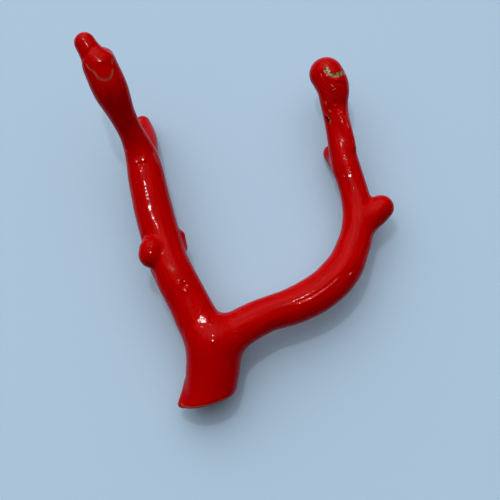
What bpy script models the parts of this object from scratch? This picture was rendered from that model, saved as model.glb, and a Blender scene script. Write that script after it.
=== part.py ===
"""Polished branch of precious coral, sawn flat at its foot and lying on a surface.

Units are metres, +Z is up and the branch grows along +Y. It touches the surface in three
places: the lower rim of the sawn foot, a stub under the left branch and a spur under the
right branch. The trunk parts into two branches at one fork, and each of the three is a
solid of its own.
"""

import math
from typing import NamedTuple

import bmesh
import bpy
from mathutils import Matrix, Vector

MM = 0.001

# Driving sizes, in millimetres
TRUNK_RADIUS = 4.2
LEFT_RADIUS = 3.3
RIGHT_RADIUS = 3.0
KNOB_RADIUS = 2.15
STUB_RADIUS = 1.8
SPUR_RADIUS = 1.3
TIP_RADIUS = 1.7
SAW_GAP = 0.3

# How fine the surface is, how far its joins are rounded and how many triangles it keeps
VOXEL = 0.32
ROUNDING_PASSES = 6
TRIANGLES = 9000
STEPS_PER_STATION = 6
RING_SEGMENTS = 28
SHARP_ANGLE = 40.0

# Centre lines: x, y and z in millimetres, then the girth as a share of the line's radius
TRUNK_LINE = (
    (-7.7, -31.0, 2.8, 1.00),
    (-6.9, -26.6, 3.9, 1.01),
    (-6.6, -24.7, 4.4, 1.01),
    (-6.2, -22.2, 5.2, 1.03),
    (-6.0, -19.5, 6.1, 1.07),
    (-5.9, -17.4, 6.8, 1.06),
)
LEFT_LINE = (
    (-6.4, -17.6, 6.9, 1.18),
    (-8.5, -14.2, 7.4, 1.08),
    (-10.3, -10.6, 7.6, 1.04),
    (-12.2, -7.3, 7.8, 1.02),
    (-13.7, -3.9, 7.9, 1.00),
    (-14.7, -0.5, 8.0, 1.04),
    (-15.8, 3.1, 8.0, 1.00),
    (-16.7, 6.6, 8.1, 0.97),
    (-17.5, 10.1, 8.3, 0.95),
    (-18.0, 12.5, 8.7, 0.91),
    (-18.4, 14.2, 9.4, 0.85),
    (-19.2, 15.9, 10.6, 0.78),
    (-20.2, 17.7, 12.8, 0.75),
    (-21.4, 19.5, 15.3, 0.79),
    (-22.6, 21.7, 18.6, 0.86),
    (-23.3, 22.9, 20.3, 0.88),
    (-24.0, 24.3, 21.8, 0.86),
    (-24.5, 25.1, 22.2, 0.82),
)
RIGHT_LINE = (
    (-4.5, -17.0, 7.0, 1.22),
    (-0.8, -14.5, 7.4, 1.06),
    (3.1, -12.9, 7.4, 1.02),
    (7.0, -11.4, 7.2, 1.04),
    (10.6, -9.5, 6.9, 1.06),
    (14.7, -6.3, 6.5, 1.04),
    (17.0, -1.7, 6.3, 1.01),
    (18.0, 1.8, 6.3, 0.93),
    (18.5, 5.4, 6.3, 0.85),
    (18.0, 8.9, 6.5, 0.84),
    (16.8, 12.4, 6.9, 0.82),
    (16.1, 15.9, 7.3, 0.79),
    (15.5, 19.4, 7.8, 0.79),
    (14.6, 22.9, 8.4, 0.78),
    (14.2, 26.2, 9.5, 0.90),
    (13.5, 28.7, 10.3, 1.07),
)


class Growth(NamedTuple):
    """A short round-ended growth: where it leaves a branch, where it ends, and both radii."""

    root: tuple
    tip: tuple
    root_radius: float
    tip_radius: float


# The growths that the branches carry, in millimetres
GROWTHS = {
    "left_knob": Growth((-15.0, -2.4, 8.0), (-16.5, -2.6, 8.5), KNOB_RADIUS, KNOB_RADIUS),
    "left_stub": Growth((-18.0, 13.0, 7.7), (-19.3, 22.8, 1.9), 2.5, STUB_RADIUS),
    "left_tip": Growth((-24.4, 25.0, 22.2), (-26.8, 28.6, 22.5), 1.9, TIP_RADIUS),
    "right_knob": Growth((18.2, 2.9, 6.3), (22.3, 5.6, 6.6), 3.0, KNOB_RADIUS),
    "right_spur": Growth((16.1, 15.0, 6.9), (14.2, 17.2, 1.35), 2.1, SPUR_RADIUS),
}


class Cut(NamedTuple):
    """A sawn plane: a point on it in millimetres and the direction past it."""

    point: tuple
    direction: tuple


FOOT_CUT = Cut((-7.1, -26.7, 3.9), (0.24, -0.91, -0.34))
LEFT_FORK = Cut((-9.4, -12.4, 7.6), (-0.46, 0.89, 0.04))
RIGHT_FORK = Cut((1.4, -13.6, 7.4), (0.92, 0.38, -0.02))
FOOT_BLOCK = (20.0, 10.0)
SAW_BLADE = (10.0, SAW_GAP)

# How far round each contact its lowest point is sought, in millimetres
CONTACT_REACH = 5.0

# The finished pieces, from the foot up and then from left to right, with their colours
COLOURS = {
    "trunk": (0.28, 0.001, 0.001),
    "left_branch": (0.36, 0.006, 0.006),
    "right_branch": (0.33, 0.003, 0.002),
}
ROUGHNESS = 0.12


def clear_scene():
    """Remove everything that the new file came with."""
    for obj in list(bpy.data.objects):
        bpy.data.objects.remove(obj, do_unlink=True)


def new_collection(name):
    """Return a new collection in the scene."""
    collection = bpy.data.collections.new(name)
    bpy.context.scene.collection.children.link(collection)
    return collection


def smooth_route(stations):
    """Return points on a Catmull-Rom curve through the stations, each with its girth."""
    rows = [Vector(station) for station in stations]
    rows = [2 * rows[0] - rows[1], *rows, 2 * rows[-1] - rows[-2]]
    route = []
    for before, start, end, after in zip(rows, rows[1:], rows[2:], rows[3:]):
        slope = end - before
        bend = 2 * before - 5 * start + 4 * end - after
        twist = 3 * start - before - 3 * end + after
        for step in range(STEPS_PER_STATION):
            t = step / STEPS_PER_STATION
            route.append(start + 0.5 * (slope * t + bend * t**2 + twist * t**3))
    route.append(rows[-2])
    return route


def as_mesh_object(curve_object, collection):
    """Replace a curve object by a closed mesh object in the same place."""
    bpy.context.view_layer.update()
    graph = bpy.context.evaluated_depsgraph_get()
    mesh = bpy.data.meshes.new_from_object(curve_object.evaluated_get(graph))
    shell = bmesh.new()
    shell.from_mesh(mesh)
    bmesh.ops.remove_doubles(shell, verts=shell.verts, dist=0.001 * MM)
    shell.to_mesh(mesh)
    shell.free()
    solid = bpy.data.objects.new(curve_object.name, mesh)
    solid.matrix_world = curve_object.matrix_world.copy()
    collection.objects.link(solid)
    bpy.data.objects.remove(curve_object, do_unlink=True)
    return solid


def add_tube(name, stations, radius, collection):
    """Return a tube along the stations, as thick at each one as its girth says."""
    curve = bpy.data.curves.new(name, "CURVE")
    curve.dimensions = "3D"
    curve.bevel_depth = radius * MM
    curve.bevel_resolution = RING_SEGMENTS // 4
    curve.use_fill_caps = True
    route = smooth_route(stations)
    spline = curve.splines.new("POLY")
    spline.points.add(len(route) - 1)
    for point, (x, y, z, girth) in zip(spline.points, route):
        point.co = (x * MM, y * MM, z * MM, 1.0)
        point.radius = girth
    tube = bpy.data.objects.new(name, curve)
    collection.objects.link(tube)
    return as_mesh_object(tube, collection)


def add_ball(name, centre, radius, collection):
    """Return a ball at a point given in millimetres."""
    mesh = bpy.data.meshes.new(name)
    shell = bmesh.new()
    bmesh.ops.create_uvsphere(
        shell,
        u_segments=RING_SEGMENTS,
        v_segments=RING_SEGMENTS // 2,
        radius=radius * MM,
    )
    shell.to_mesh(mesh)
    shell.free()
    ball = bpy.data.objects.new(name, mesh)
    ball.location = Vector(centre) * MM
    collection.objects.link(ball)
    return ball


def add_limb(name, stations, radius, collection):
    """Return a limb's two shapes: its tube and the ball that rounds its far end."""
    *centre, girth = stations[-1]
    tube = add_tube(name, stations, radius, collection)
    ball = add_ball(f"{name}_end", centre, girth * radius, collection)
    return [tube, ball]


def add_growth(name, growth, collection):
    """Return a growth's two shapes, a limb of two stations."""
    girth = growth.root_radius / growth.tip_radius
    stations = ((*growth.root, girth), (*growth.tip, 1.0))
    return add_limb(name, stations, growth.tip_radius, collection)


def join(name, pieces, collection):
    """Return one mesh object that takes the place of all the pieces."""
    shell = bmesh.new()
    for piece in pieces:
        piece.data.transform(Matrix.Translation(piece.location))
        shell.from_mesh(piece.data)
        bpy.data.objects.remove(piece, do_unlink=True)
    mesh = bpy.data.meshes.new(name)
    shell.to_mesh(mesh)
    shell.free()
    joined = bpy.data.objects.new(name, mesh)
    collection.objects.link(joined)
    return joined


def apply_modifiers(obj):
    """Turn the object's modifiers into its mesh."""
    bpy.context.view_layer.update()
    graph = bpy.context.evaluated_depsgraph_get()
    mesh = bpy.data.meshes.new_from_object(obj.evaluated_get(graph))
    obj.modifiers.clear()
    obj.data = mesh


def round_off(obj):
    """Melt the overlapping shapes into one skin, round its joins and thin its mesh."""
    remesh = obj.modifiers.new("one skin", "REMESH")
    remesh.mode = "VOXEL"
    remesh.voxel_size = VOXEL * MM
    smooth = obj.modifiers.new("rounding", "SMOOTH")
    smooth.factor = 0.5
    smooth.iterations = ROUNDING_PASSES
    apply_modifiers(obj)
    thin = obj.modifiers.new("thinning", "DECIMATE")
    thin.ratio = min(1.0, TRIANGLES / (2 * len(obj.data.polygons)))
    apply_modifiers(obj)


def add_block(name, cut, size, collection):
    """Return a hidden square block whose near face lies on the plane of the cut."""
    width, depth = size
    mesh = bpy.data.meshes.new(name)
    shell = bmesh.new()
    bmesh.ops.create_cube(shell, size=1.0)
    bmesh.ops.translate(shell, verts=shell.verts, vec=(0, 0, 0.5))
    bmesh.ops.scale(shell, verts=shell.verts, vec=(width * MM, width * MM, depth * MM))
    shell.to_mesh(mesh)
    shell.free()
    mesh.transform(Vector(cut.direction).to_track_quat("Z", "Y").to_matrix().to_4x4())
    mesh.transform(Matrix.Translation(Vector(cut.point) * MM))
    block = bpy.data.objects.new(name, mesh)
    block.hide_render = True
    block.display_type = "WIRE"
    collection.objects.link(block)
    return block


def saw(obj, blocks):
    """Take the blocks out of the object."""
    for block in blocks:
        cut = obj.modifiers.new(block.name, "BOOLEAN")
        cut.operation = "DIFFERENCE"
        cut.object = block
    apply_modifiers(obj)


def lowest_near(mesh, spot):
    """Return the lowest vertex near a spot given in millimetres, both seen from above."""
    near = []
    for vertex in mesh.vertices:
        away = (vertex.co.xy - Vector(spot[:2]) * MM).length
        if away < CONTACT_REACH * MM:
            near.append(vertex.co)
    return min(near, key=lambda point: point.z).copy()


def settle(mesh):
    """Turn the branch until its three contacts are level, and stand it on the origin."""
    heel = lowest_near(mesh, FOOT_CUT.point)
    left = lowest_near(mesh, GROWTHS["left_stub"].tip)
    right = lowest_near(mesh, GROWTHS["right_spur"].tip)
    ground = (right - heel).cross(left - heel)
    mesh.transform(ground.rotation_difference(Vector((0, 0, 1))).to_matrix().to_4x4())
    corners = []
    for pick in (min, max):
        corners.append(Vector(pick(v.co[axis] for v in mesh.vertices) for axis in range(3)))
    low, high = corners
    middle = (low + high) / 2
    mesh.transform(Matrix.Translation((-middle.x, -middle.y, -low.z)))


def middle_of(obj):
    """Return the mean of the object's vertices."""
    return sum((vertex.co for vertex in obj.data.vertices), Vector()) / len(obj.data.vertices)


def part_at_cuts(obj):
    """Return the sawn pieces as objects: the trunk, then the branches from left to right."""
    bpy.ops.object.select_all(action="DESELECT")
    bpy.context.view_layer.objects.active = obj
    obj.select_set(True)
    bpy.ops.object.mode_set(mode="EDIT")
    bpy.ops.mesh.separate(type="LOOSE")
    bpy.ops.object.mode_set(mode="OBJECT")
    pieces = sorted(bpy.context.selected_objects, key=lambda piece: middle_of(piece).y)
    trunk, *branches = pieces
    branches.sort(key=lambda piece: middle_of(piece).x)
    return [trunk, *branches]


def finish(obj, name):
    """Name a piece, shade it smooth up to its sawn faces and give it its material."""
    obj.name = name
    obj.data.name = name
    material = bpy.data.materials.new(f"{name}_coral")
    material.use_nodes = True
    shader = material.node_tree.nodes["Principled BSDF"]
    shader.inputs["Base Color"].default_value = (*COLOURS[name], 1.0)
    shader.inputs["Roughness"].default_value = ROUGHNESS
    shader.inputs["Metallic"].default_value = 0.0
    obj.data.materials.clear()
    obj.data.materials.append(material)
    obj.data.shade_smooth()
    obj.data.set_sharp_from_angle(angle=math.radians(SHARP_ANGLE))


def main():
    """Build the branch as one skin, saw it and name its three pieces."""
    clear_scene()
    coral = new_collection("polished_coral_branch")
    blades = new_collection("saw_blades")
    shapes = [
        *add_limb("trunk_line", TRUNK_LINE, TRUNK_RADIUS, coral),
        *add_limb("left_line", LEFT_LINE, LEFT_RADIUS, coral),
        *add_limb("right_line", RIGHT_LINE, RIGHT_RADIUS, coral),
    ]
    for name, growth in GROWTHS.items():
        shapes += add_growth(name, growth, coral)
    branch = join("branch", shapes, coral)
    round_off(branch)
    blocks = [
        add_block("foot_block", FOOT_CUT, FOOT_BLOCK, blades),
        add_block("left_blade", LEFT_FORK, SAW_BLADE, blades),
        add_block("right_blade", RIGHT_FORK, SAW_BLADE, blades),
    ]
    saw(branch, blocks)
    settle(branch.data)
    for piece, name in zip(part_at_cuts(branch), COLOURS, strict=True):
        finish(piece, name)


main()
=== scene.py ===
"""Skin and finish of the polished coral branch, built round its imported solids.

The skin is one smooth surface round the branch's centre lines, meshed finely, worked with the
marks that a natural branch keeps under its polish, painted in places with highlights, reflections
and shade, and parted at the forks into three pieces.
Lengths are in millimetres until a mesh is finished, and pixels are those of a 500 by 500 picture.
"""

import logging
import math
from dataclasses import dataclass, field
from enum import Enum

import bmesh
import bpy
import numpy as np
from mathutils import Matrix, Vector, noise


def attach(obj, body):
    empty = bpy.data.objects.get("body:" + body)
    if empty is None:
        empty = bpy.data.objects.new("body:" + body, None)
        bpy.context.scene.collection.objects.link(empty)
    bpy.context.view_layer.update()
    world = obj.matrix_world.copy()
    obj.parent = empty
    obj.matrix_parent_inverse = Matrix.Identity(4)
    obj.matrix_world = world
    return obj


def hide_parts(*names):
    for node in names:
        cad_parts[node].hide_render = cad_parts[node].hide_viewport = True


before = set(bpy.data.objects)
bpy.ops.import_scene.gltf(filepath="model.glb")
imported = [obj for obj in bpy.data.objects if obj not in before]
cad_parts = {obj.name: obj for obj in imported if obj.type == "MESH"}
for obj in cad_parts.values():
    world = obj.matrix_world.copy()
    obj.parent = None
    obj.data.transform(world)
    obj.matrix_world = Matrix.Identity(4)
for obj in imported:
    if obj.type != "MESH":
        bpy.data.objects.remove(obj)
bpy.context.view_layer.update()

LOG = logging.getLogger("coral")
MM = 0.001

Triple = tuple[float, float, float]
Pixel = tuple[float, float]
Station = tuple[float, float, float, float]

# How the branch lies: a slight roll about X and a shift bring its measured lines into the frame
LIE_ROLL = math.radians(-0.289)
LIE_SHIFT = (2.02, -1.73, -0.05)

# Measured centre lines: x, y and z, then the girth as a share of the line's radius
TRUNK_LINE = (
    (-7.7, -31.0, 2.8, 1.00),
    (-6.9, -26.6, 3.9, 1.01),
    (-6.5, -24.7, 4.4, 1.02),
    (-6.2, -22.2, 5.2, 1.05),
    (-6.0, -19.5, 6.1, 1.06),
    (-5.9, -17.4, 6.8, 1.01),
)
LEFT_LINE = (
    (-6.6, -17.6, 6.9, 1.12),
    (-8.5, -14.2, 7.2, 1.09),
    (-10.3, -10.6, 7.55, 1.05),
    (-12.1, -7.3, 8.1, 1.02),
    (-13.7, -3.9, 8.15, 1.00),
    (-14.8, -0.5, 7.85, 1.02),
    (-15.9, 3.1, 7.95, 1.00),
    (-16.8, 6.6, 8.25, 0.98),
    (-17.6, 10.1, 8.6, 0.95),
    (-18.1, 12.5, 8.9, 0.91),
    (-18.6, 14.2, 9.5, 0.84),
    (-19.3, 15.9, 10.7, 0.73),
    (-20.3, 17.7, 12.7, 0.63),
    (-21.3, 19.4, 15.0, 0.67),
    (-22.6, 21.7, 18.4, 0.87),
    (-23.3, 23.2, 19.8, 0.88),
    (-24.3, 25.3, 20.9, 0.85),
)
RIGHT_LINE = (
    (-4.5, -17.0, 7.1, 1.12),
    (-0.8, -14.6, 7.2, 1.04),
    (3.1, -12.6, 6.8, 0.98),
    (7.0, -11.35, 6.7, 1.03),
    (10.6, -9.6, 6.85, 1.07),
    (12.9, -8.0, 6.9, 1.08),
    (14.6, -6.2, 6.8, 1.07),
    (16.1, -4.2, 6.55, 1.03),
    (17.1, -1.7, 6.3, 0.98),
    (17.9, 0.4, 6.2, 0.94),
    (18.3, 2.6, 6.2, 0.90),
    (18.4, 5.4, 6.15, 0.85),
    (17.9, 8.9, 6.2, 0.81),
    (16.9, 12.4, 6.55, 0.80),
    (16.0, 15.9, 6.95, 0.80),
    (15.5, 19.4, 7.35, 0.76),
    (14.8, 22.9, 8.1, 0.75),
    (14.5, 24.6, 8.8, 0.83),
    (14.5, 26.1, 9.5, 0.92),
    (14.1, 27.5, 10.0, 0.98),
    (13.2, 29.1, 10.2, 0.97),
)

# The growths that the branches carry: stations, radius, and how wide their roots are filled
GROWTHS = (
    ("foot_flare", ((-10.1, -24.0, 4.3, 0.35), (-10.75, -27.2, 4.1, 0.95)), 0.95, 1.8),
    ("left_knob", ((-16.2, -2.5, 9.9, 1.0), (-16.3, -3.3, 9.8, 1.0)), 2.2, 0.5),
    ("left_back_bump", ((-11.9, 0.6, 7.4, 0.9), (-11.6, -1.3, 7.3, 1.0)), 1.05, 0.8),
    ("left_stub", ((-17.9, 14.5, 7.3, 1.35), (-18.2, 18.7, 4.6, 1.15), (-18.85, 21.2, 3.0, 1.08),
                   (-19.5, 23.3, 2.0, 0.86)), 1.6, 0.8),
    ("left_shoulder", ((-23.79, 26.84, 20.50, 1.0), (-24.09, 26.89, 20.45, 1.0)), 1.7, 0.5),
    ("left_dome", ((-24.45, 25.3, 21.9, 1.0), (-23.45, 25.4, 21.7, 1.0)), 1.75, 0.4),
    ("left_tip", ((-25.1, 26.3, 21.7, 1.3), (-26.0, 27.5, 22.2, 1.05), (-26.6, 28.5, 22.5, 1.02)), 1.65, 0.4),
    ("right_knob", ((19.9, 3.4, 6.3, 0.93), (21.25, 4.7, 6.5, 1.01), (22.4, 5.9, 6.6, 0.98)), 2.2, 1.2),
    ("right_crest", ((14.95, 23.49, 9.20, 0.70), (15.54, 21.82, 9.40, 0.95), (16.43, 19.51, 9.25, 1.00),
                     (17.02, 17.66, 8.95, 0.95), (17.37, 16.13, 8.50, 0.80)), 0.85, 1.0),
    ("right_spur", ((16.4, 13.2, 6.4, 1.45), (14.45, 17.9, 1.7, 1.0)), 1.25, 1.2),
    ("right_spur_wing", ((14.4, 17.3, 1.9, 1.0), (15.4, 14.2, 3.0, 0.95), (16.4, 11.0, 4.2, 0.9)), 1.1, 0.8),
)

# Where the small bright lamp hangs over the branch
KEY_LAMP = (-40.0, 70.0, 316.0)

# How steep the skin under a glint's facet may count as, as a cosine, and how far a facet may move it
FACET_SLOPE = 0.35
FACET_REACH = 0.4

# Where the foot is sawn off, which way the cut faces, and how far its rim is rounded
SAW_POINT = (-7.1, -26.7, 3.9)
SAW_FACING = (0.24, -0.91, -0.34)
SAW_ROUNDING = 1.1


def laid(point: Triple) -> Vector:
    """Bring a measured point into the frame.

    Args:
        point: The point as it was measured, in millimetres.

    Returns:
        The point in the frame, in millimetres.
    """
    return Matrix.Rotation(LIE_ROLL, 3, "X") @ Vector(point) + Vector(LIE_SHIFT)


def smooth_min(first: np.ndarray, second: np.ndarray, reach: float) -> tuple[np.ndarray, np.ndarray]:
    """Blend two distance fields into one rounded union.

    Args:
        first: Distances to the first shape.
        second: Distances to the second shape.
        reach: How near the two must be, in millimetres, for their join to be filled.

    Returns:
        The blended distances, and the second shape's share at each point.
    """
    near = np.maximum(reach - np.abs(first - second), 0.0) / reach
    share = 0.5 * near**2
    blended = np.minimum(first, second) - 0.5 * reach * share
    return blended, np.where(second < first, 1.0 - share, share)


def noise_at(spots: np.ndarray) -> np.ndarray:
    """Return smooth noise between -1 and 1 at each row of an array of points."""
    return np.array([noise.noise(spot) for spot in spots.tolist()])


def unit(rows: np.ndarray) -> np.ndarray:
    """Return the rows scaled to length one."""
    return rows / np.maximum(np.linalg.norm(rows, axis=1, keepdims=True), 1e-9)


@dataclass
class Line:
    """A smooth line through stations, with a radius along it and an untwisted frame."""

    stations: tuple[Station, ...]
    radius: float
    spacing: float = 0.15
    steps: int = 24
    rounding: float = 0.9

    def __post_init__(self) -> None:
        """Work out the line's samples, their tangents and the directions across it."""
        rows = np.array(self.stations, float)
        rows[:, 3] *= self.radius
        rows = self._resample(self._catmull_rom(rows))
        self.points, self.radii = rows[:, :3], rows[:, 3]
        self.tangents = unit(np.gradient(self.points, axis=0))
        self.bends = np.gradient(self.tangents, axis=0) / self.spacing
        across = [unit(np.cross(self.tangents[:1], (0.0, 0.0, 1.0)))[0]]
        for tangent in self.tangents[1:]:
            level = across[-1] - tangent * (across[-1] @ tangent)
            across.append(level / np.linalg.norm(level))
        self.across = np.array(across)
        self.up = np.cross(self.across, self.tangents)

    def _catmull_rom(self, rows: np.ndarray) -> np.ndarray:
        """Return points on a Catmull-Rom curve through the rows."""
        ends = [2 * rows[0] - rows[1], *rows, 2 * rows[-1] - rows[-2]]
        route = []
        for before, start, end, after in zip(ends, ends[1:], ends[2:], ends[3:]):
            bend = 2 * before - 5 * start + 4 * end - after
            twist = 3 * start - before - 3 * end + after
            for step in range(self.steps):
                t = step / self.steps
                route.append(start + 0.5 * ((end - before) * t + bend * t**2 + twist * t**3))
        route.append(ends[-2])
        return np.array(route)

    def _resample(self, rows: np.ndarray) -> np.ndarray:
        """Return samples at an even spacing, with the curve's small kinks rounded off."""
        length = np.r_[0.0, np.cumsum(np.linalg.norm(np.diff(rows[:, :3], axis=0), axis=1))]
        count = max(3, round(length[-1] / self.spacing) + 1)
        self.spacing = length[-1] / (count - 1)
        even = np.linspace(0.0, length[-1], count)
        rows = np.column_stack([np.interp(even, length, column) for column in rows.T])
        half = round(2 * self.rounding / self.spacing)
        if half >= count:
            return rows
        weights = np.exp(-0.5 * (np.arange(-half, half + 1) * self.spacing / self.rounding) ** 2)
        weights /= weights.sum()
        padded = np.vstack([
            2 * rows[0] - rows[half:0:-1],
            rows,
            2 * rows[-1] - rows[-2 : -half - 2 : -1],
        ])
        return np.column_stack([np.convolve(column, weights, "valid") for column in padded.T])

    def nearest(self, points: np.ndarray) -> np.ndarray:
        """Find where along the line each point is nearest to it.

        Args:
            points: Points in millimetres, one a row.

        Returns:
            The place of each as a fraction of samples.
        """
        places = np.empty(len(points))
        lengths = (self.points**2).sum(1)
        for start in range(0, len(points), 20000):
            block = points[start : start + 20000]
            index = (lengths - 2 * block @ self.points.T).argmin(1)
            away = block - self.points[index]
            along = (away * self.tangents[index]).sum(1) / self.spacing
            along /= np.maximum(1 - (away * self.bends[index]).sum(1), 0.3)
            places[start : start + 20000] = index + np.clip(along, -1, 1)
        return np.clip(places, 0, len(self.points) - 1)

    def at(self, places: np.ndarray, rows: np.ndarray) -> np.ndarray:
        """Return the rows that belong to the samples, read at places between them."""
        index = np.minimum(places.astype(int), len(self.points) - 2)
        part = places - index
        if rows.ndim > 1:
            part = part[:, None]
        return rows[index] * (1 - part) + rows[index + 1] * part

    def measure(self, points: np.ndarray) -> tuple[np.ndarray, np.ndarray, np.ndarray]:
        """Measure points against the tube round the line.

        Args:
            points: Points in millimetres, one a row.

        Returns:
            Distances to the tube, the directions away from the line and the places along it.
        """
        places = self.nearest(points)
        away = points - self.at(places, self.points)
        gaps = np.linalg.norm(away, axis=1)
        return gaps - self.at(places, self.radii), away / gaps[:, None], places

    def outside(self, points: np.ndarray) -> np.ndarray:
        """Return how far each point is outside the box round the tube."""
        girth = self.radii.max()
        low, high = self.points.min(0) - girth, self.points.max(0) + girth
        beyond = np.maximum(np.maximum(low - points, points - high), 0.0)
        return np.linalg.norm(beyond, axis=1)

    def around(self, away: np.ndarray, places: np.ndarray) -> np.ndarray:
        """Return the angle round the line of directions away from it, in radians."""
        side = (away * self.at(places, self.across)).sum(1)
        rise = (away * self.at(places, self.up)).sum(1)
        return np.arctan2(rise, side)


@dataclass
class Limb:
    """A tube round a line of the branch, and how it grew."""

    name: str
    stations: tuple[Station, ...]
    radius: float
    fillet: float
    striae: float = 1.0

    def __post_init__(self) -> None:
        """Lay the stations down and run the line through them."""
        placed = tuple((*laid(station[:3]), station[3]) for station in self.stations)
        self.line = Line(placed, self.radius)


@dataclass
class Skin:
    """The smooth union of all limbs, as a distance field.

    Attributes:
        limbs: The tubes, in the order in which they are joined.
        margin: How far outside a limb's box points are still measured, in millimetres.
    """

    limbs: list[Limb]
    margin: float = 2.5

    def __post_init__(self) -> None:
        """Lay down the plane in which the foot is sawn off."""
        self.saw_point = laid(SAW_POINT)
        self.saw_facing = (Matrix.Rotation(LIE_ROLL, 3, "X") @ Vector(SAW_FACING)).normalized()

    def measure(self, points: np.ndarray) -> tuple[np.ndarray, np.ndarray, np.ndarray]:
        """Measure points against the whole branch.

        Args:
            points: Points in millimetres, one a row.

        Returns:
            Distances to the skin, its normals, and each limb's share, one limb a row.
        """
        field_now = np.full(len(points), 1e3)
        normals = np.zeros_like(points)
        shares = np.zeros((len(self.limbs), len(points)))
        for row, limb in enumerate(self.limbs):
            distances = limb.line.outside(points)
            away = np.zeros_like(points)
            close = distances < self.margin
            distances[close], away[close], _ = limb.line.measure(points[close])
            distances[~close] += self.margin
            field_now, share = smooth_min(field_now, distances, limb.fillet)
            normals = normals * (1 - share[:, None]) + away * share[:, None]
            shares[:row] *= 1 - share
            shares[row] = share
        beyond = (points - np.array(self.saw_point)) @ np.array(self.saw_facing)
        inside, share = smooth_min(-field_now, -beyond, SAW_ROUNDING)
        normals = unit(normals) * (1 - share[:, None]) + np.array(self.saw_facing) * share[:, None]
        return -inside, unit(normals), shares

    def settle(self, points: np.ndarray, passes: int = 4) -> np.ndarray:
        """Return the points moved onto the skin."""
        for _ in range(passes):
            distances, normals, _ = self.measure(points)
            points = points - normals * distances[:, None]
        return points


@dataclass(frozen=True)
class Viewpoint:
    """The camera of the picture, in millimetres and in pixels of its 500 by 500 frame."""

    place: Triple = (1.95, -42.74, 153.6)
    lean: float = math.radians(15)
    focal: float = 902.0
    width: float = 500.0
    sensor: float = 36.0

    def turn(self) -> Matrix:
        """Return the camera's rotation."""
        return Matrix.Rotation(self.lean, 3, "X")

    def ray(self, pixel: Pixel) -> np.ndarray:
        """Return the unit direction that a pixel looks along."""
        across = (pixel[0] - self.width / 2) / self.focal
        down = (pixel[1] - self.width / 2) / self.focal
        return np.array((self.turn() @ Vector((across, -down, -1.0))).normalized())

    def touch(self, skin: Skin, pixel: Pixel) -> np.ndarray:
        """Find the point of the skin that a pixel shows.

        Args:
            skin: The surface that is looked at.
            pixel: A pixel of the picture.

        Returns:
            The point, or the skin's nearest one where the pixel just misses it.
        """
        start = np.array(self.place)
        along = self.ray(pixel)
        reach = 110.0
        best, closest = reach, 1e9
        for _ in range(60):
            gap = skin.measure((start + along * reach)[None])[0][0]
            if gap < closest:
                best, closest = reach, gap
            if gap < 0.001 or reach > 170.0:
                break
            reach += max(gap, 0.01) * 0.9
        return skin.settle((start + along * best)[None])[0]

    def half_way(self, points: np.ndarray) -> np.ndarray:
        """Return how a facet at each point faces to mirror the lamp towards the camera."""
        return unit(unit(np.array(KEY_LAMP) - points) + unit(np.array(self.place) - points))

    def build(self) -> bpy.types.Object:
        """Return the scene's camera."""
        data = bpy.data.cameras.new("viewpoint")
        data.sensor_width = self.sensor
        data.lens = self.focal * self.sensor / self.width
        data.clip_start = 0.01
        camera = bpy.data.objects.new("viewpoint", data)
        camera.location = Vector(self.place) * MM
        camera.rotation_euler = (self.lean, 0.0, 0.0)
        bpy.context.scene.collection.objects.link(camera)
        bpy.context.scene.camera = camera
        return camera


class Relief(Enum):
    """How a mark stands on the skin."""

    RIDGE = "ridge"
    GLINT = "glint"
    GROOVE = "groove"
    DIMPLE = "dimple"
    LIP = "lip"
    # A flat patch of colour with no relief: a real stain, or a painted highlight or painted reflection
    STAIN_AND_SHEEN = "stain_and_sheen"


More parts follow.
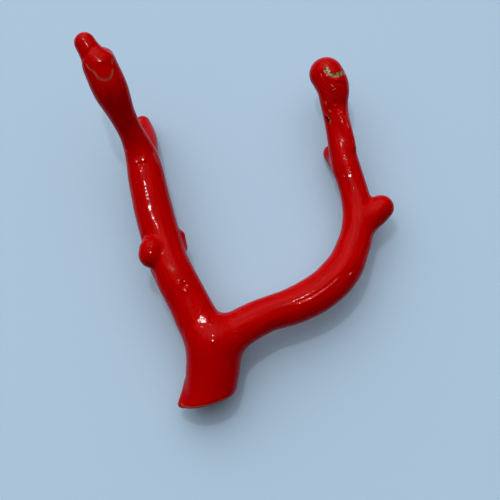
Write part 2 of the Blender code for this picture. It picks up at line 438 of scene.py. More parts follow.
@dataclass(frozen=True)
class Mark:
    """A natural mark that the polish has kept, or a patch of painted highlight, reflection or shade, placed
    where the picture shows it.

    Attributes:
        name: What it is.
        relief: How it stands on the skin.
        route: The pixels that it runs through, or the one that it is at.
        width: Its half width in millimetres.
        height: How high or how deep it is, in millimetres.
        tint: The vertex colour channel that it paints, if any.
        strength: How strongly it paints.
        bead: How long each of a glint's small facets is, in millimetres.
        mottle: How rough those facets are, in millimetres.
    """

    name: str
    relief: Relief
    route: tuple[Pixel, ...]
    width: float
    height: float = 0.0
    tint: str = ""
    strength: float = 1.0
    bead: float = 0.4
    mottle: float = 0.001

    def profile(self, ratio: np.ndarray, side: np.ndarray) -> np.ndarray:
        """Return the mark's section at distances given in half widths, with their side."""
        bell = np.exp(-(ratio**2))
        if self.relief is Relief.RIDGE:
            return bell
        if self.relief is Relief.GROOVE:
            return -bell
        if self.relief is Relief.DIMPLE:
            return 0.4 * np.exp(-(((ratio - 1.7) / 0.6) ** 2)) - bell
        if self.relief is Relief.LIP:
            return np.tanh(2.0 * ratio * side) * np.exp(-((ratio / 3.0) ** 2))
        return np.zeros_like(ratio)

    def level_of(self, centres: np.ndarray, points: np.ndarray, lift: np.ndarray) -> np.ndarray:
        """Return how high the skin already stands at each facet's centre."""
        if len(centres) == 1:
            return lift[np.argmin(np.linalg.norm(points - centres[0], axis=1))]
        rows, which = np.unique(centres, axis=0, return_inverse=True)
        levels = [lift[np.argmin(np.linalg.norm(points - row, axis=1))] for row in rows]
        return np.array(levels)[which.ravel()]

    def press(self, view: Viewpoint, skin: Skin, points: np.ndarray, normals: np.ndarray,
              lift: np.ndarray, tints: dict[str, np.ndarray]) -> None:
        """Add the mark's height and colour at the skin's points.

        Args:
            view: The camera whose pixels place the mark.
            skin: The surface that it is on.
            points: The skin's points.
            normals: Their normals.
            lift: The heights that it is added to.
            tints: The colour channels that it is added to.
        """
        spots = [view.touch(skin, pixel) for pixel in self.route]
        if len(spots) == 1:
            gaps = np.linalg.norm(points - spots[0], axis=1)
            close = gaps < 4 * self.width
            ratio = gaps[close] / self.width
            side = np.ones_like(ratio)
            fade = np.ones_like(ratio)
        else:
            stations = tuple((*spot, 1.0) for spot in spots)
            line = Line(stations, 1.0, spacing=0.1, rounding=0.2)
            middle = line.points.mean(0)
            span = np.linalg.norm(line.points - middle, axis=1).max() + 4 * self.width
            close = np.linalg.norm(points - middle, axis=1) < span
            places = line.nearest(points[close])
            away = points[close] - line.at(places, line.points)
            ratio = np.linalg.norm(away, axis=1) / self.width
            outward = np.cross(normals[close], line.at(places, line.tangents))
            side = np.sign((away * outward).sum(1))
            ends = np.minimum(places, len(line.points) - 1 - places) * line.spacing
            fade = np.clip((ends + 0.3 * self.width) / (1.3 * self.width), 0.0, 1.0)
        if self.relief is Relief.GLINT:
            step = max(1, round(self.bead / 0.1))
            last = len(line.points) - 1 if len(spots) > 1 else 0
            beads = np.clip(np.round(places / step) * step, 0, last).astype(int) if last else 0
            centres = line.points[beads] if last else spots[0][None]
            facings = view.half_way(centres)
            level = self.height + self.level_of(centres, points[close], lift[close])
            slope = np.maximum((normals[close] * facings).sum(1), FACET_SLOPE)
            above = ((points[close] - centres) * facings).sum(1) / slope
            above = np.clip(above, -FACET_REACH, FACET_REACH)
            above -= self.mottle * noise_at(points[close] * (2.4, 2.4, 2.4))
            weight = np.exp(-(ratio**6)) * fade
            lift[close] = lift[close] * (1 - weight) + (level - above) * weight
            return
        lift[close] += self.height * self.profile(ratio, side) * fade
        if self.tint:
            painted = self.strength * np.exp(-(ratio**4)) * fade
            tints[self.tint][close] = np.maximum(tints[self.tint][close], painted)


# The marks of the left branch, from its tip down
LEFT_MARKS = (
    Mark("neck crease", Relief.GROOVE, ((96, 44.8), (90.5, 50), (85.5, 55), (82, 60)), 0.35, 0.12),
    Mark("dome lip", Relief.LIP, ((85.8, 63.8), (89.2, 68.8), (94.2, 72.2), (97.5, 77.2), (102.5, 80),
                                  (107.5, 80), (110.8, 77.2), (112.5, 73), (113.3, 68.8)), 0.22, 0.09,
         "bare_and_sheen", 0.75),
    # Painted reflection: a pale patch down the dome's right side
    Mark("dome side", Relief.STAIN_AND_SHEEN, ((111.7, 58), (112, 65.5)), 0.22, 0.0, "bare_and_sheen", 0.4),
    Mark("rise eye", Relief.GROOVE, ((122.7, 82), (123.1, 88)), 0.3, 0.14),
    Mark("rise ridge", Relief.RIDGE, ((117.5, 74.5), (119.7, 80), (120.7, 86)), 0.25, 0.07),
    Mark("rise graze one", Relief.RIDGE, ((105, 103), (111, 105)), 0.3, 0.05),
    Mark("rise graze two", Relief.RIDGE, ((110, 112), (116, 114), (120.5, 119)), 0.35, 0.06),
    Mark("root pit", Relief.DIMPLE, ((136.2, 114.2),), 0.3, 0.12, "pit_and_shade", 0.9),
    Mark("root ring", Relief.DIMPLE, ((139.4, 120.4),), 0.35, 0.10, "bare_and_sheen", 0.5),
    Mark("notch", Relief.GROOVE, ((123.6, 150.8), (126.5, 151.2)), 0.25, 0.12),
    Mark("elbow bump left", Relief.RIDGE, ((136.7, 161.3),), 0.45, 0.10),
    Mark("elbow bump right", Relief.RIDGE, ((142.9, 159.6),), 0.45, 0.10),
    Mark("elbow dimple", Relief.DIMPLE, ((140, 164),), 0.35, 0.08),
    Mark("elbow line", Relief.GROOVE, ((141, 145.5), (144.2, 151)), 0.13, 0.03),
    # Painted reflection: the pale paint on this ridge stands in for a reflection along the limb's right side
    Mark("side ridge", Relief.RIDGE, ((153, 152), (155, 158), (158, 164.5)), 0.3, 0.09, "bare_and_sheen", 0.25),
    Mark("streak", Relief.RIDGE, ((138.5, 166), (143, 183), (145.3, 198), (148.5, 210), (153, 224)),
         0.7, 0.10),
    Mark("short streak", Relief.RIDGE, ((135.4, 176), (138.3, 186)), 0.25, 0.04),
    Mark("scratch", Relief.GROOVE, ((161.7, 206.7), (166, 213), (171.7, 220)), 0.14, 0.03),
    Mark("knob line", Relief.GROOVE, ((145.5, 233), (142.3, 238.6)), 0.3, 0.10),
    Mark("knob crease", Relief.GROOVE, ((153.3, 239), (159.2, 245)), 0.25, 0.05),
    Mark("knob crown", Relief.RIDGE, ((150.6, 253.2),), 0.55, 0.05),
    Mark("knob hollow", Relief.GROOVE, ((150.5, 270), (153, 275), (156, 281)), 0.7, 0.28),
    Mark("upper dab", Relief.DIMPLE, ((178.3, 257),), 0.22, 0.05),
    # Painted highlight: the pale paint on this patch stands in for a broken highlight
    Mark("rough patch", Relief.RIDGE, ((168, 265), (171, 268), (175, 272)), 0.4, 0.05, "bare_and_sheen", 0.25),
    Mark("eye dimple", Relief.DIMPLE, ((183.9, 284.8),), 0.5, 0.16),
    Mark("vein", Relief.RIDGE, ((177, 282.5), (182, 288), (187.5, 293), (191.7, 301.7), (193, 308)),
         0.3, 0.07),
    Mark("dimple pair left", Relief.DIMPLE, ((179.3, 306.5),), 0.2, 0.05),
    Mark("dimple pair right", Relief.DIMPLE, ((182.3, 306),), 0.2, 0.05),
)

# The marks of the fork and the trunk
TRUNK_MARKS = (
    # Painted reflection: a pale line along the foot's rounded rim, where the lit floor would be mirrored
    Mark("foot rim", Relief.STAIN_AND_SHEEN, ((181, 403.5), (185, 406.7), (191, 407.4), (200, 406.2), (212, 403.6),
                                    (224, 399), (231.5, 395.8), (235.3, 390.5)), 0.13, 0.0, "bare_and_sheen", 0.7),
    Mark("fork crease", Relief.GROOVE, ((199, 331), (203.5, 326.5), (211, 322.3)), 0.16, 0.07),
    Mark("fork lower line", Relief.GROOVE, ((200, 332), (207, 327), (215, 326.5)), 0.14, 0.03),
    Mark("fork side line", Relief.GROOVE, ((196.2, 311), (197.2, 327)), 0.2, 0.04),
    Mark("crotch rim left", Relief.RIDGE, ((216.5, 316), (222, 315), (228, 312.5)), 0.3, 0.05),
    Mark("crotch rim right", Relief.RIDGE, ((232.5, 313.5), (239, 311.5), (248, 306.3)), 0.3, 0.06),
    Mark("fork dab", Relief.RIDGE, ((233, 332.5), (240, 331.5)), 0.25, 0.04),
    Mark("trunk dot", Relief.RIDGE, ((212.5, 341.3),), 0.28, 0.06),
    Mark("trunk left ridge", Relief.RIDGE, ((184.5, 324), (186, 339)), 0.3, 0.08),
)

# The marks of the right branch, from the fork up
RIGHT_MARKS = (
    Mark("low dab", Relief.RIDGE, ((346.7, 276.7), (353.3, 270.8)), 0.35, 0.07),
    Mark("bank dimple", Relief.DIMPLE, ((346.6, 177.2),), 0.26, 0.10),
    Mark("short graze", Relief.RIDGE, ((355.4, 163), (356, 169)), 0.2, 0.03),
    # Painted shade: the dark paint in this groove stands in for a dark reflection and shade
    Mark("outer slot", Relief.GROOVE, ((364, 270), (367, 262), (369.5, 254)), 0.35, 0.22, "pit_and_shade", 0.6),
    Mark("knob dab low", Relief.RIDGE, ((379, 222), (382, 218.8)), 0.2, 0.05),
    Mark("knob dab mid", Relief.DIMPLE, ((378.3, 217.5),), 0.2, 0.05),
    Mark("knob dab far", Relief.RIDGE, ((391, 209.3),), 0.22, 0.06),
    Mark("knob pleat one", Relief.GROOVE, ((368.5, 195.5), (373, 196.5)), 0.15, 0.06),
    Mark("knob pleat two", Relief.GROOVE, ((369, 198), (374, 199)), 0.15, 0.05),
    Mark("knob spot", Relief.DIMPLE, ((363.3, 201.7),), 0.2, 0.05),
    Mark("scar", Relief.GROOVE, ((325.5, 66.3), (327.6, 71.5), (332.2, 75), (337, 75), (343, 72.6),
                                 (346.3, 71.5)), 0.38, 0.08, "scar"),
    Mark("brow", Relief.RIDGE, ((333, 80.2), (337, 79.6), (341, 80)), 0.3, 0.08),
    Mark("under brow", Relief.GROOVE, ((337, 82.6), (343, 83.4), (348.5, 82.6)), 0.16, 0.14),
    Mark("pleat", Relief.GROOVE, ((341, 85.6), (345, 85.2), (348.8, 84.4)), 0.14, 0.10),
    Mark("whorl one", Relief.GROOVE, ((318, 74.2), (322.2, 82.5), (328, 88.3), (334.7, 93.3)), 0.16, 0.11),
    Mark("whorl two", Relief.GROOVE, ((321, 72), (325, 81.5), (330, 87), (336, 91.7)), 0.15, 0.11),
    Mark("whorl three", Relief.GROOVE, ((317, 79), (322.5, 88), (330, 93), (337, 98)), 0.15, 0.10),
    Mark("whorl four", Relief.GROOVE, ((325.5, 79), (331, 83.8), (336, 88)), 0.15, 0.10),
    Mark("whorl ridge one", Relief.RIDGE, ((320, 75), (324, 83), (329.5, 88), (335.5, 92.8)), 0.15, 0.08),
    # Painted highlight: the pale paint on this whorl ridge stands in for a bright stroke of reflected light
    Mark("whorl ridge two", Relief.RIDGE, ((331, 85), (336, 90)), 0.2, 0.10, "bare_and_sheen", 0.3),
    Mark("head eye", Relief.DIMPLE, ((334.3, 102.1),), 0.42, 0.16),
    Mark("neck dab one", Relief.DIMPLE, ((325.2, 100.5), (325.8, 105)), 0.26, 0.06, "bare_and_sheen", 0.7),
    Mark("neck dab two", Relief.RIDGE, ((328, 109.8), (331.5, 112.7)), 0.22, 0.06, "bare_and_sheen", 0.45),
    Mark("neck pit", Relief.DIMPLE, ((340.9, 111.7),), 0.2, 0.10, "bare_and_sheen", 0.6),
    Mark("neck bump", Relief.RIDGE, ((340.5, 124),), 0.45, 0.05),
    Mark("edge speck", Relief.DIMPLE, ((320.6, 104.5),), 0.2, 0.08, "pit_and_shade", 0.8),
    Mark("edge pit rim", Relief.STAIN_AND_SHEEN, ((325, 115), (328.5, 118.5), (330.8, 123.5)), 0.2, 0.0, "scar", 0.8),
    Mark("edge pit", Relief.GROOVE, ((324.5, 116), (327, 119.5), (328.8, 123)), 0.34, 0.26, "pit_and_shade"),
)


# The glints of the polish: small facets that mirror the lamp
GLINTS = (
    Mark("dome", Relief.GLINT, ((96.5, 61.3), (100, 61), (104, 61.3)), 0.32, bead=9.0),
    Mark("tip", Relief.GLINT, ((81.9, 41.6), (83, 39.6), (85, 38.6)), 0.33),
    Mark("elbow left", Relief.GLINT, ((136.7, 161.3),), 0.5),
    Mark("elbow right", Relief.GLINT, ((142.9, 159.6),), 0.46),
    Mark("elbow between", Relief.GLINT, ((138.5, 160), (141, 161.5)), 0.20),
    Mark("streak top", Relief.GLINT, ((139.5, 168.8), (141, 172), (142, 175)), 0.30, bead=0.5),
    Mark("streak", Relief.GLINT, ((142.8, 178), (145, 185), (146.3, 195), (147.5, 203.3)), 0.26, bead=0.6),
    Mark("streak foot", Relief.GLINT, ((147.8, 204), (150.8, 211.7), (153.8, 220), (155, 226)), 0.44),
    Mark("short streak", Relief.GLINT, ((136, 178), (137.8, 184)), 0.17, bead=0.5),
    Mark("left knob", Relief.GLINT, ((150.6, 252.8),), 0.38),
    Mark("upper dab", Relief.GLINT, ((178.3, 257),), 0.26),
    Mark("rough one", Relief.GLINT, ((169, 266), (170.5, 268)), 0.23),
    Mark("rough two", Relief.GLINT, ((172.5, 268.5), (174, 271)), 0.23),
    Mark("eye", Relief.GLINT, ((181.7, 283.2), (183.8, 281.2), (186.8, 281.8)), 0.30, bead=9.0),
    Mark("vein head", Relief.GLINT, ((177, 282.5), (179, 284)), 0.26),
    Mark("vein", Relief.GLINT, ((182.5, 287.5), (185, 290), (187.3, 293)), 0.30, bead=9.0),
    Mark("dimple pair", Relief.GLINT, ((179.4, 305),), 0.20),
    Mark("fork", Relief.GLINT, ((202.8, 319.5),), 1.05, mottle=0.008),
    Mark("fork left", Relief.GLINT, ((199.6, 310), (200.4, 315)), 0.4, mottle=0.004),
    Mark("fork right", Relief.GLINT, ((207, 324), (212.5, 325.7)), 0.42, mottle=0.004),
    Mark("trunk dot", Relief.GLINT, ((212.5, 341.3),), 0.36),
    Mark("fork dab", Relief.GLINT, ((234, 332.3), (238.5, 331.7)), 0.17),
    Mark("crotch", Relief.GLINT, ((234, 313.3), (239, 311), (244, 308.3)), 0.17, bead=0.7),
    Mark("low streak", Relief.GLINT, ((294.6, 303.3), (300, 302.5), (306.7, 300), (312.5, 297),
                                      (319.2, 293), (325.8, 288.3), (333.3, 281.7), (338.8, 277)), 0.40),
    Mark("low dab", Relief.GLINT, ((346.7, 276.7), (350, 273.8), (353.3, 270.8)), 0.36, bead=0.8),
    Mark("faint low", Relief.GLINT, ((312.5, 284.6), (320, 281), (327.5, 276.8)), 0.17, bead=1.3),
    Mark("upper streak", Relief.GLINT, ((343.8, 153.3), (345.8, 158.3), (347.5, 164.2)), 0.32),
    Mark("upper streak foot", Relief.GLINT, ((347.8, 165.5), (349.2, 170), (350, 176.7), (351.3, 182.5)), 0.52),
    Mark("bank dot", Relief.GLINT, ((344.4, 176.2),), 0.34),
    Mark("crest", Relief.GLINT, ((342.2, 112.5), (345.5, 118.3), (347.6, 125), (349.2, 130),
                                 (351.3, 135.8), (352.9, 140.8), (353.3, 145)), 0.26),
    Mark("knob stroke", Relief.GLINT, ((379.3, 222), (381.7, 219.2)), 0.26, bead=1.0),
    Mark("knob far", Relief.GLINT, ((391, 209.3),), 0.26),
    Mark("knob mid", Relief.GLINT, ((378.3, 217.5),), 0.20),
    Mark("head dot", Relief.GLINT, ((333.8, 67.5),), 0.26),
    Mark("brow", Relief.GLINT, ((335.2, 80), (338.4, 79.7)), 0.26, bead=1.0),
    Mark("whorl stroke one", Relief.GLINT, ((331.5, 85.2), (335.7, 89.4)), 0.20, bead=1.2),
    Mark("whorl stroke two", Relief.GLINT, ((331.7, 88.6), (335.8, 92.2)), 0.20, bead=1.2),
    Mark("head eye above", Relief.GLINT, ((331.2, 102), (332.3, 99.7), (335, 99.2)), 0.23),
    Mark("head eye below", Relief.GLINT, ((335.4, 105.3), (337.6, 104.2)), 0.23),
)


@dataclass
class CoralBranch:
    """The branch's skin, from its centre lines to three finished pieces."""

    voxel: float = 0.14
    relax_passes: int = 3
    trunk_radius: float = 4.2
    left_radius: float = 3.3
    right_radius: float = 3.0
    swell: float = 0.10
    stria_height: float = 0.009
    stria_spacing: float = 0.5
    bead_height: float = 0.007
    bead_spacing: float = 0.45
    left_fork: Triple = (-9.4, -12.4, 7.6)
    left_facing: Triple = (-0.46, 0.89, 0.04)
    right_fork: Triple = (1.4, -13.6, 7.4)
    right_facing: Triple = (0.92, 0.38, -0.02)
    fork_reach: float = 7.0
    view: Viewpoint = field(default_factory=Viewpoint)

    def __post_init__(self) -> None:
        """Set out the limbs and growths."""
        self.skin = Skin([
            Limb("trunk", TRUNK_LINE, self.trunk_radius, 0.1, striae=0.25),
            Limb("left", LEFT_LINE, self.left_radius, 1.6),
            Limb("right", RIGHT_LINE, self.right_radius, 1.6, striae=1.3),
            *(Limb(*growth) for growth in GROWTHS),
        ])

    def core(self) -> bpy.types.Mesh:
        """Return a rough mesh of the branch: balls along every line, melted into one."""
        shell = bmesh.new()
        for limb in self.skin.limbs:
            line = limb.line
            step = max(1, round(0.7 / line.spacing))
            for index in [*range(0, len(line.points), step), len(line.points) - 1]:
                place = Matrix.Translation(Vector(line.points[index]))
                bmesh.ops.create_icosphere(
                    shell, subdivisions=2, radius=line.radii[index], matrix=place
                )
        bmesh.ops.bisect_plane(
            shell, geom=shell.verts[:] + shell.edges[:] + shell.faces[:], dist=1e-5,
            plane_co=self.skin.saw_point, plane_no=self.skin.saw_facing, clear_outer=True,
        )
        rims = [edge for edge in shell.edges if edge.is_boundary]
        bmesh.ops.holes_fill(shell, edges=rims, sides=0)
        rough = bpy.data.meshes.new("core")
        shell.to_mesh(rough)
        shell.free()
        obj = bpy.data.objects.new("core", rough)
        bpy.context.scene.collection.objects.link(obj)
        remesh = obj.modifiers.new("one skin", "REMESH")
        remesh.mode = "VOXEL"
        remesh.voxel_size = self.voxel
        graph = bpy.context.evaluated_depsgraph_get()
        mesh = bpy.data.meshes.new_from_object(obj.evaluated_get(graph))
        bpy.data.objects.remove(obj, do_unlink=True)
        bpy.data.meshes.remove(rough)
        return mesh

    def relax(self, points: np.ndarray, edges: np.ndarray) -> np.ndarray:
        """Return the points evened out along the skin.

        Args:
            points: The mesh's points.
            edges: Pairs of point numbers.

        Returns:
            The points, each drawn towards its neighbours and back onto the skin.
        """
        degree = np.bincount(edges.ravel(), minlength=len(points))
        for _ in range(self.relax_passes):
            total = np.zeros_like(points)
            for axis in range(3):
                total[:, axis] = np.bincount(edges[:, 0], points[edges[:, 1], axis], len(points))
                total[:, axis] += np.bincount(edges[:, 1], points[edges[:, 0], axis], len(points))
            points = self.skin.settle(0.4 * points + 0.6 * total / degree[:, None], 1)
        return self.skin.settle(points, 2)

    def texture(self, points: np.ndarray) -> tuple[np.ndarray, np.ndarray, np.ndarray]:
        """Work out the growth texture of the whole skin.

        Args:
            points: The skin's points.

        Returns:
            The heights of the swells and striae, coordinates that follow the growth, and how
            strongly each point is lined.
        """
        shares = self.skin.measure(points)[2]
        heights = self.swell * noise_at(points * (0.21, 0.21, 0.21))
        grain = np.zeros_like(points)
        total = np.zeros(len(points))
        lined = np.zeros(len(points))
        for number, (limb, share) in enumerate(zip(self.skin.limbs, shares)):
            used = np.flatnonzero(share > 0.004)
            if not len(used):
                continue
            line = limb.line
            _, away, places = line.measure(points[used])
            angle = line.around(away, places)
            girth = line.at(places, line.radii)
            along = places * line.spacing
            mesh_turns = girth / self.stria_spacing
            spots = np.column_stack([
                np.cos(angle) * mesh_turns,
                np.sin(angle) * mesh_turns,
                along / 6.0 + 17.3 * number,
            ])
            around = np.column_stack([np.cos(angle) * girth, np.sin(angle) * girth, along + 40 * number])
            beads = noise_at(around / (1.4, 1.4, self.bead_spacing))
            part = share[used]
            heights[used] += part * self.stria_height * limb.striae * noise_at(spots)
            heights[used] += part * self.bead_height * limb.striae * beads
            grain[used] += around * part[:, None]
            total[used] += part
            lined[used] += part * limb.striae
        return heights, grain / total[:, None], lined / total

    def whole(self) -> bpy.types.Mesh:
        """Return the finely worked skin of the whole branch, uncut and in millimetres."""
        mesh = self.core()
        points = np.empty(len(mesh.vertices) * 3)
        mesh.vertices.foreach_get("co", points)
        edges = np.empty(len(mesh.edges) * 2, np.int32)
        mesh.edges.foreach_get("vertices", edges)
        points = self.relax(self.skin.settle(points.reshape(-1, 3)), edges.reshape(-1, 2))
        normals = self.skin.measure(points)[1]
        lift, grain, lined = self.texture(points)
        # Vertex colour channels: the olive crust; pale wear together with painted highlights and painted
        # reflections; dark pits together with painted shade
        tints = {name: np.zeros(len(points)) for name in ("scar", "bare_and_sheen", "pit_and_shade")}
        for mark in (*LEFT_MARKS, *TRUNK_MARKS, *RIGHT_MARKS, *GLINTS):
            mark.press(self.view, self.skin, points, normals, lift, tints)
        points = points + normals * lift[:, None]
        mesh.vertices.foreach_set("co", points.ravel())
        mesh.update()
        facing = np.empty(len(points) * 3, np.float32)
        mesh.vertex_normals.foreach_get("vector", facing)
        for name, values in (("facing", facing), ("grain", grain.ravel())):
            layer = mesh.attributes.new(name, "FLOAT_VECTOR", "POINT")
            layer.data.foreach_set("vector", values)
        tints["lined"] = lined
        for name, values in tints.items():
            layer = mesh.attributes.new(name, "FLOAT", "POINT")
            layer.data.foreach_set("value", values)
        return mesh

    def part(self, mesh: bpy.types.Mesh) -> list[bmesh.types.BMesh]:
        """Part the skin at the two forks.

        Args:
            mesh: The whole skin.

        Returns:
            The trunk, the left branch and the right branch, each closed.
        """
        shell = bmesh.new()
        shell.from_mesh(mesh)
        turn = Matrix.Rotation(LIE_ROLL, 3, "X")
        for point, facing in (
            (self.left_fork, self.left_facing),
            (self.right_fork, self.right_facing),
        ):
            centre = laid(point)
            near = [f for f in shell.faces if (f.verts[0].co - centre).length < self.fork_reach]
            edges = {e for f in near for e in f.edges}
            verts = {v for f in near for v in f.verts}
            made = bmesh.ops.bisect_plane(
                shell, geom=[*verts, *edges, *near], dist=1e-5, plane_co=centre,
                plane_no=turn @ Vector(facing),
            )["geom_cut"]
            cut = [item for item in made if isinstance(item, bmesh.types.BMEdge)]
            bmesh.ops.split_edges(shell, edges=cut)
        pieces = self.islands(shell)
        shell.free()
        return pieces

    def islands(self, shell: bmesh.types.BMesh) -> list[bmesh.types.BMesh]:
        """Return the parted islands as closed shells: trunk, left branch, right branch."""
        shell.verts.ensure_lookup_table()
        owner = [-1] * len(shell.verts)
        shell.verts.index_update()
        groups = []
        for seed in shell.verts:
            if owner[seed.index] >= 0:
                continue
            group = [seed]
            owner[seed.index] = len(groups)
            for vert in group:
                for edge in vert.link_edges:
                    other = edge.other_vert(vert)
                    if owner[other.index] < 0:
                        owner[other.index] = len(groups)
                        group.append(other)
            groups.append(group)
        middles = [sum((v.co for v in group), Vector()) / len(group) for group in groups]
        order = sorted(range(len(groups)), key=lambda index: middles[index].y)
        order = [order[0], *sorted(order[1:], key=lambda index: middles[index].x)]
        pieces = []
        for wanted in order:
            piece = shell.copy()
            doomed = [v for v, number in zip(piece.verts, owner) if number != wanted]
            bmesh.ops.delete(piece, geom=doomed, context="VERTS")
            rims = [edge for edge in piece.edges if edge.is_boundary]
            caps = bmesh.ops.holes_fill(piece, edges=rims, sides=0)["faces"]
            for cap in caps:
                cap.smooth = False
            flat = bmesh.ops.triangulate(piece, faces=caps)["faces"]
            for face in flat:
                face.material_index = 1
            bmesh.ops.recalc_face_normals(piece, faces=flat)
            pieces.append(piece)
        return pieces

    def finish(self, name: str, piece: bmesh.types.BMesh) -> bpy.types.Object:
        """Turn a parted shell into an object of its real size with the skin's own normals.

        Args:
            name: The object's name.
            piece: The closed shell, in millimetres.

        Returns:
            The object, in the scene.
        """
        mesh = bpy.data.meshes.new(name)
        piece.to_mesh(mesh)
        piece.free()
        mesh.transform(Matrix.Scale(MM, 4))
        facing = np.empty(len(mesh.vertices) * 3)
        mesh.attributes["facing"].data.foreach_get("vector", facing)
        facing = unit(facing.reshape(-1, 3))
        corners = np.empty(len(mesh.loops), np.int32)
        mesh.loops.foreach_get("vertex_index", corners)
        normals = facing[corners]
        for polygon in mesh.polygons:
            if polygon.material_index == 1:
                polygon.material_index = 0
                normals[polygon.loop_start : polygon.loop_start + polygon.loop_total] = polygon.normal
        mesh.attributes.remove(mesh.attributes["facing"])
        mesh.shade_smooth()
        mesh.normals_split_custom_set(normals)
        obj = bpy.data.objects.new(name, mesh)
        bpy.context.scene.collection.objects.link(obj)
        return obj

    def build(self) -> list[bpy.types.Object]:
        """Return the trunk's, the left branch's and the right branch's finished pieces."""
        whole = self.whole()
        LOG.info("skin of %d points", len(whole.vertices))
        names = ("trunk_skin", "left_branch_skin", "right_branch_skin")
        pieces = self.part(whole)
        bpy.data.meshes.remove(whole)
        return [self.finish(name, piece) for name, piece in zip(names, pieces, strict=True)]


def linear(colour: str) -> tuple[float, float, float, float]:
    """Return an sRGB hex colour as linear red, green and blue, with full alpha."""
    values = [int(colour[start : start + 2], 16) / 255 for start in (1, 3, 5)]
    parts = [v / 12.92 if v <= 0.04045 else ((v + 0.055) / 1.055) ** 2.4 for v in values]
    return (*parts, 1.0)


def add_node(tree: bpy.types.NodeTree, kind: str, sockets: dict | None = None,
             **settings: object) -> bpy.types.Node:
    """Add a node with its settings and links.

    Args:
        tree: The node tree.
        kind: The node's type.
        sockets: For each input, by name or number, its value or the output that feeds it.
        **settings: The node's own properties.

    Returns:
        The new node.
    """
    node = tree.nodes.new(kind)
    for name, value in settings.items():
        setattr(node, name, value)
    for name, value in (sockets or {}).items():
        if isinstance(value, bpy.types.NodeSocket):
            tree.links.new(value, node.inputs[name])
        else:
            node.inputs[name].default_value = value
    return node


@dataclass(frozen=True)
class PolishedCoral:
    """Precious red coral, tumbled and buffed to a wet gloss.

    The skeleton is dense calcite, opaque and evenly red, so the eye sees deep colour under
    sharp reflections, with fine lighter striae that run with the growth. Its pale and dark tints
    also paint a few highlights, reflections and shade onto the surface.
    """

    deep: str = "#A80304"
    bright: str = "#B80A08"
    scar: str = "#8E8C62"
    scar_dark: str = "#4A3A1E"
    # Pale wear colour, also used as painted highlight and painted reflection
    bare_and_sheen: str = "#B0604E"
    # Dark pit colour, also used as painted shade
    pit_and_shade: str = "#2A0806"
    ior: float = 1.17
    roughness: float = 0.09
    line_depth: float = 0.006

    def build(self) -> bpy.types.Material:
        """Return the material."""
        material = bpy.data.materials.new("polished_red_coral")
        material.use_nodes = True
        tree = material.node_tree
        shader = tree.nodes["Principled BSDF"]
        grain = add_node(tree, "ShaderNodeAttribute", attribute_name="grain")
        stretched = add_node(tree, "ShaderNodeMapping", {
            "Vector": grain.outputs["Vector"], "Scale": (2.9, 2.9, 0.14),
        })
        streaks = add_node(tree, "ShaderNodeTexNoise", {
            "Vector": stretched.outputs["Vector"], "Scale": 1.0, "Detail": 3.0,
        })
        tone = add_node(tree, "ShaderNodeMapRange", {
            "Value": streaks.outputs["Fac"], "From Min": 0.42, "From Max": 0.66,
        })
        lined = add_node(tree, "ShaderNodeAttribute", attribute_name="lined")
        share = add_node(tree, "ShaderNodeMath", {
            0: tone.outputs["Result"], 1: lined.outputs["Fac"],
        }, operation="MULTIPLY", use_clamp=True)
        red = add_node(tree, "ShaderNodeMix", {
            "Factor": share.outputs["Value"], 6: linear(self.deep), 7: linear(self.bright),
        }, data_type="RGBA")
        speckle = add_node(tree, "ShaderNodeTexNoise", {
            "Vector": grain.outputs["Vector"], "Scale": 2.6, "Detail": 2.0,
        })
        dark = add_node(tree, "ShaderNodeMapRange", {
            "Value": speckle.outputs["Fac"], "From Min": 0.46, "From Max": 0.57,
        })
        crust = add_node(tree, "ShaderNodeMix", {
            "Factor": dark.outputs["Result"], 6: linear(self.scar), 7: linear(self.scar_dark),
        }, data_type="RGBA")
        colour = red.outputs[2]
        # Pale wear that also serves as painted highlight and reflection, the olive crust, and dark pits that
        # also serve as painted shade
        for name, paint in (("bare_and_sheen", linear(self.bare_and_sheen)), ("scar", crust.outputs[2]), ("pit_and_shade", linear(self.pit_and_shade))):
            amount = add_node(tree, "ShaderNodeAttribute", attribute_name=name)
            colour = add_node(tree, "ShaderNodeMix", {
                "Factor": amount.outputs["Fac"], 6: colour, 7: paint,
            }, data_type="RGBA").outputs[2]
        lines = add_node(tree, "ShaderNodeMapping", {
            "Vector": grain.outputs["Vector"], "Scale": (2.6, 2.6, 0.35),
        })
        fine = add_node(tree, "ShaderNodeTexNoise", {
            "Vector": lines.outputs["Vector"], "Scale": 1.0, "Detail": 2.0,
        })
        bump = add_node(tree, "ShaderNodeBump", {
            "Height": fine.outputs["Fac"], "Distance": self.line_depth * MM, "Strength": 1.0,
        })
        tree.links.new(bump.outputs["Normal"], shader.inputs["Normal"])
        tree.links.new(colour, shader.inputs["Base Color"])
        shader.inputs["Roughness"].default_value = self.roughness
        shader.inputs["IOR"].default_value = self.ior
        return material


@dataclass(frozen=True)
class Lamp:
    """A soft rectangular lamp, in millimetres and watts."""

    name: str
    place: Triple
    size: tuple[float, float]
    power: float
    colour: str = "#FFFFFF"
    aim: Triple = (0.0, 0.0, 5.0)

    def build(self) -> None:
        """Hang the lamp in the scene."""
        data = bpy.data.lights.new(self.name, "AREA")
        data.shape = "RECTANGLE"
        data.size, data.size_y = self.size[0] * MM, self.size[1] * MM
        data.energy = self.power
        data.color = linear(self.colour)[:3]
        lamp = bpy.data.objects.new(self.name, data)
        lamp.location = Vector(self.place) * MM
        lamp.rotation_euler = (Vector(self.aim) - Vector(self.place)).to_track_quat("-Z", "Y").to_euler()
        bpy.context.scene.collection.objects.link(lamp)


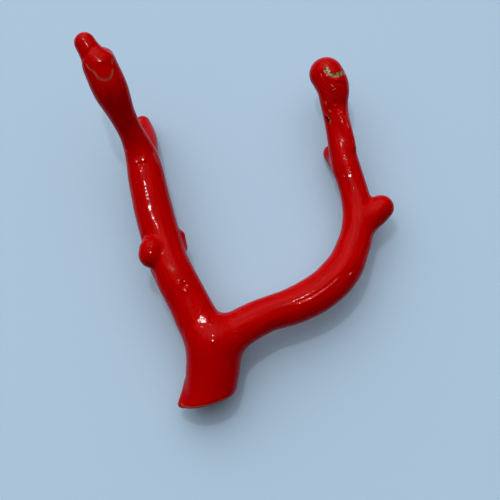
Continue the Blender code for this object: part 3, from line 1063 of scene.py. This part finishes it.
@dataclass
class Studio:
    """The plain pale floor, the dim room and the soft lamps."""

    floor_size: float = 600.0
    floor_colour: str = "#AEC7DD"
    bright_way: Triple = (-0.2, 0.55, 0.81)
    brightest: float = 2.55
    dimmest: float = 0.02
    black_level: float = 0.008
    lamps: tuple[Lamp, ...] = (Lamp("overhead", KEY_LAMP, (12.5, 12.5), 0.14),)

    def floor(self) -> bpy.types.Object:
        """Return the floor, a matt pale sheet."""
        shell = bmesh.new()
        bmesh.ops.create_grid(shell, x_segments=2, y_segments=2, size=self.floor_size / 2 * MM)
        mesh = bpy.data.meshes.new("floor")
        shell.to_mesh(mesh)
        shell.free()
        material = bpy.data.materials.new("matt_pale_floor")
        material.use_nodes = True
        shader = material.node_tree.nodes["Principled BSDF"]
        shader.inputs["Base Color"].default_value = linear(self.floor_colour)
        shader.inputs["Roughness"].default_value = 0.9
        shader.inputs["Specular IOR Level"].default_value = 0.1
        mesh.materials.append(material)
        floor = bpy.data.objects.new("floor", mesh)
        bpy.context.scene.collection.objects.link(floor)
        return floor

    def room(self) -> bpy.types.World:
        """Return the room, a soft glow from above and behind that fades to the sides and front."""
        world = bpy.data.worlds.new("room")
        world.use_nodes = True
        tree = world.node_tree
        way = add_node(tree, "ShaderNodeTexCoord")
        lean = add_node(tree, "ShaderNodeVectorMath", {
            0: way.outputs["Generated"], 1: Vector(self.bright_way).normalized(),
        }, operation="DOT_PRODUCT")
        above = add_node(tree, "ShaderNodeMath", {0: lean.outputs["Value"], 1: 0.0}, operation="MAXIMUM")
        glow = add_node(tree, "ShaderNodeMath", {0: above.outputs["Value"], 1: 3.0}, operation="POWER")
        strength = add_node(tree, "ShaderNodeMapRange", {
            "Value": glow.outputs["Value"], "To Min": self.dimmest, "To Max": self.brightest,
        })
        background = tree.nodes["Background"]
        background.inputs["Color"].default_value = (1.0, 1.0, 1.0, 1.0)
        tree.links.new(strength.outputs["Result"], background.inputs["Strength"])
        return world

    def build(self) -> None:
        """Lay the floor, light the room and hang the lamp."""
        self.floor()
        for lamp in self.lamps:
            lamp.build()
        bpy.context.scene.world = self.room()
        picture = bpy.context.scene.view_settings
        picture.view_transform = "Standard"
        picture.use_curve_mapping = True
        picture.curve_mapping.black_level = (self.black_level,) * 3
        picture.curve_mapping.update()


def main() -> None:
    """Build the branch, dress it, light it and report each piece."""
    logging.basicConfig(level=logging.INFO, format="%(name)s: %(message)s")
    branch = CoralBranch()
    branch.view.build()
    Studio().build()
    coral = PolishedCoral().build()
    for piece, node in zip(branch.build(), ("trunk", "left_branch", "right_branch"), strict=True):
        piece.data.materials.append(coral)
        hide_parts(node)
        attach(piece, "root")
        LOG.info("%s: %d faces", piece.name, len(piece.data.polygons))


if __name__ == "__main__":
    main()
